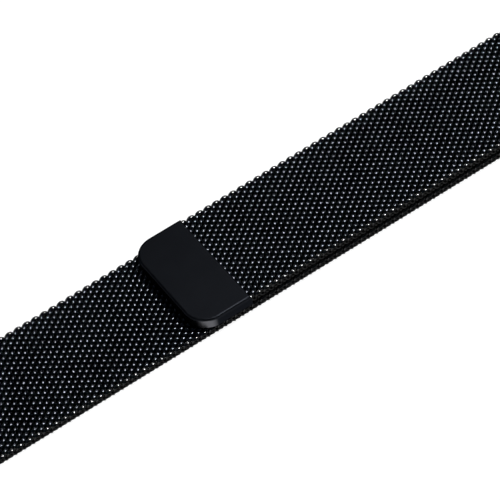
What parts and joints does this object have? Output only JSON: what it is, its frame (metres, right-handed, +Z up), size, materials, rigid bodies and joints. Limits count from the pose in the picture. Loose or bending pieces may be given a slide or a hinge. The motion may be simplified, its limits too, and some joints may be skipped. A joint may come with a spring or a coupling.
{
  "type": "milanese mesh band",
  "caption": "Black woven-wire watch band: long strap with magnetic clasp folded through a slotted ring on a short strap, quick release spring bars at both ends.",
  "frame": {"origin": "middle of the band's underside, where it lies flat", "axes": "+X along the band from the long strap's end bar to the short strap's, +Y across it, +Z up from the skin side"},
  "size_m": [0.1716, 0.0222, 0.0044],
  "materials": {
    "woven_wire": "black coated steel wire, round and bright on its crests",
    "clasp_shell": "satin black coating, finely brushed",
    "black_steel": "satin black coating",
    "bare_steel": "plain turned steel",
    "magnet": "nickel plated"
  },
  "bodies": {
    "under_clasp": {"long_strap_under_clasp": "woven_wire"},
    "long_free_1": {"long_strap_free_1": "woven_wire"},
    "long_free_2": {"long_strap_free_2": "woven_wire"},
    "long_free_3": {"long_strap_free_3": "woven_wire", "long_end_bar": "black_steel", "long_spring_bar_tube": "bare_steel", "long_spring_bar_fixed_tip": "bare_steel", "long_spring_bar_spring": "bare_steel"},
    "doubled_1": {"long_strap_lower_1": "woven_wire", "long_strap_upper_1": "woven_wire"},
    "doubled_2": {"long_strap_lower_2": "woven_wire", "long_strap_upper_2": "woven_wire"},
    "doubled_3": {"long_strap_lower_3": "woven_wire", "long_strap_upper_3": "woven_wire"},
    "doubled_4": {"long_strap_lower_4": "woven_wire", "long_strap_upper_4": "woven_wire"},
    "fold": {"long_strap_fold_lower": "woven_wire", "long_strap_fold_turn": "woven_wire", "long_strap_fold_upper": "woven_wire"},
    "lift_1": {"long_strap_lift_1": "woven_wire"},
    "lift_2": {"long_strap_lift_2": "woven_wire"},
    "clasp": {"clasp_cover": "clasp_shell", "clasp_base": "black_steel", "clasp_magnets": "magnet", "clasp_clamp_bar": "black_steel", "long_strap_clasp_tongue": "woven_wire"},
    "ring": {"ring_frame": "black_steel", "ring_pin": "black_steel"},
    "short_1": {"short_strap_cap": "black_steel", "short_strap_mesh_1": "woven_wire"},
    "short_2": {"short_strap_mesh_2": "woven_wire"},
    "short_3": {"short_strap_mesh_3": "woven_wire"},
    "short_4": {"short_strap_mesh_4": "woven_wire", "short_end_bar": "black_steel", "short_spring_bar_tube": "bare_steel", "short_spring_bar_fixed_tip": "bare_steel", "short_spring_bar_spring": "bare_steel"},
    "long_release": {"long_spring_bar_sliding_tip": "bare_steel", "long_release_lever": "bare_steel"},
    "short_release": {"short_spring_bar_sliding_tip": "bare_steel", "short_release_lever": "bare_steel"}
  },
  "joints": [
    {"name": "long_bend_1", "type": "hinge", "parent": "under_clasp", "child": "long_free_1", "pos_m": [-0.04807, 0, 0.00071], "axis": [0, -1, 0], "range_deg": [-15, 22]},
    {"name": "long_bend_2", "type": "hinge", "parent": "long_free_1", "child": "long_free_2", "pos_m": [-0.05907, 0, 0.00071], "axis": [0, -1, 0], "range_deg": [-15, 22]},
    {"name": "long_bend_3", "type": "hinge", "parent": "long_free_2", "child": "long_free_3", "pos_m": [-0.07007, 0, 0.00071], "axis": [0, -1, 0], "range_deg": [-15, 22]},
    {"name": "doubled_bend_1", "type": "hinge", "parent": "under_clasp", "child": "doubled_1", "pos_m": [-0.02607, 0, 0.00071], "axis": [0, 1, 0], "range_deg": [0, 22]},
    {"name": "doubled_bend_2", "type": "hinge", "parent": "doubled_1", "child": "doubled_2", "pos_m": [-0.01407, 0, 0.00071], "axis": [0, 1, 0], "range_deg": [0, 22]},
    {"name": "doubled_bend_3", "type": "hinge", "parent": "doubled_2", "child": "doubled_3", "pos_m": [-0.00207, 0, 0.00071], "axis": [0, 1, 0], "range_deg": [0, 22]},
    {"name": "doubled_bend_4", "type": "hinge", "parent": "doubled_3", "child": "doubled_4", "pos_m": [0.00993, 0, 0.00071], "axis": [0, 1, 0], "range_deg": [0, 22]},
    {"name": "doubled_bend_5", "type": "hinge", "parent": "doubled_4", "child": "fold", "pos_m": [0.02193, 0, 0.00071], "axis": [0, 1, 0], "range_deg": [0, 22]},
    {"name": "upper_layer_slip", "type": "hinge", "parent": "doubled_1", "child": "lift_1", "pos_m": [-0.02607, 0, 0.00233], "axis": [0, 1, 0], "range_deg": [-22, 0]},
    {"name": "clasp_lift", "type": "hinge", "parent": "lift_1", "child": "lift_2", "pos_m": [-0.03007, 0, 0.00233], "axis": [0, 1, 0], "range_deg": [0, 44]},
    {"name": "clasp_tilt", "type": "hinge", "parent": "lift_2", "child": "clasp", "pos_m": [-0.03407, 0, 0.00233], "axis": [0, 1, 0], "range_deg": [0, 22]},
    {"name": "ring_swing", "type": "hinge", "parent": "fold", "child": "ring", "pos_m": [0.03193, 0, 0.00222], "axis": [0, 1, 0], "range_deg": [-60, 30]},
    {"name": "short_strap_swing", "type": "hinge", "parent": "ring", "child": "short_1", "pos_m": [0.03587, 0, 0.0011], "axis": [0, 1, 0], "range_deg": [-60, 30]},
    {"name": "short_bend_1", "type": "hinge", "parent": "short_1", "child": "short_2", "pos_m": [0.04957, 0, 0.00071], "axis": [0, 1, 0], "range_deg": [-15, 22]},
    {"name": "short_bend_2", "type": "hinge", "parent": "short_2", "child": "short_3", "pos_m": [0.06007, 0, 0.00071], "axis": [0, 1, 0], "range_deg": [-15, 22]},
    {"name": "short_bend_3", "type": "hinge", "parent": "short_3", "child": "short_4", "pos_m": [0.07057, 0, 0.00071], "axis": [0, 1, 0], "range_deg": [-15, 22]},
    {"name": "long_release_slide", "type": "slide", "parent": "long_free_3", "child": "long_release", "axis": [0, 1, 0], "range_m": [0, 0.0012], "stiffness_N_per_m": 250, "deforming": ["long_spring_bar_spring"]},
    {"name": "short_release_slide", "type": "slide", "parent": "short_4", "child": "short_release", "axis": [0, 1, 0], "range_m": [0, 0.0012], "stiffness_N_per_m": 250, "deforming": ["short_spring_bar_spring"]}
  ],
  "couplings": [
    {"joint": "long_bend_2", "follows": "long_bend_1", "ratio": 1},
    {"joint": "long_bend_3", "follows": "long_bend_1", "ratio": 1},
    {"joint": "doubled_bend_2", "follows": "doubled_bend_1", "ratio": 1},
    {"joint": "doubled_bend_3", "follows": "doubled_bend_1", "ratio": 1},
    {"joint": "doubled_bend_4", "follows": "doubled_bend_1", "ratio": 1},
    {"joint": "doubled_bend_5", "follows": "doubled_bend_1", "ratio": 1},
    {"joint": "upper_layer_slip", "follows": "doubled_bend_1", "ratio": -1},
    {"joint": "clasp_tilt", "follows": "clasp_lift", "ratio": 0.5},
    {"joint": "short_bend_2", "follows": "short_bend_1", "ratio": 1},
    {"joint": "short_bend_3", "follows": "short_bend_1", "ratio": 1}
  ]
}
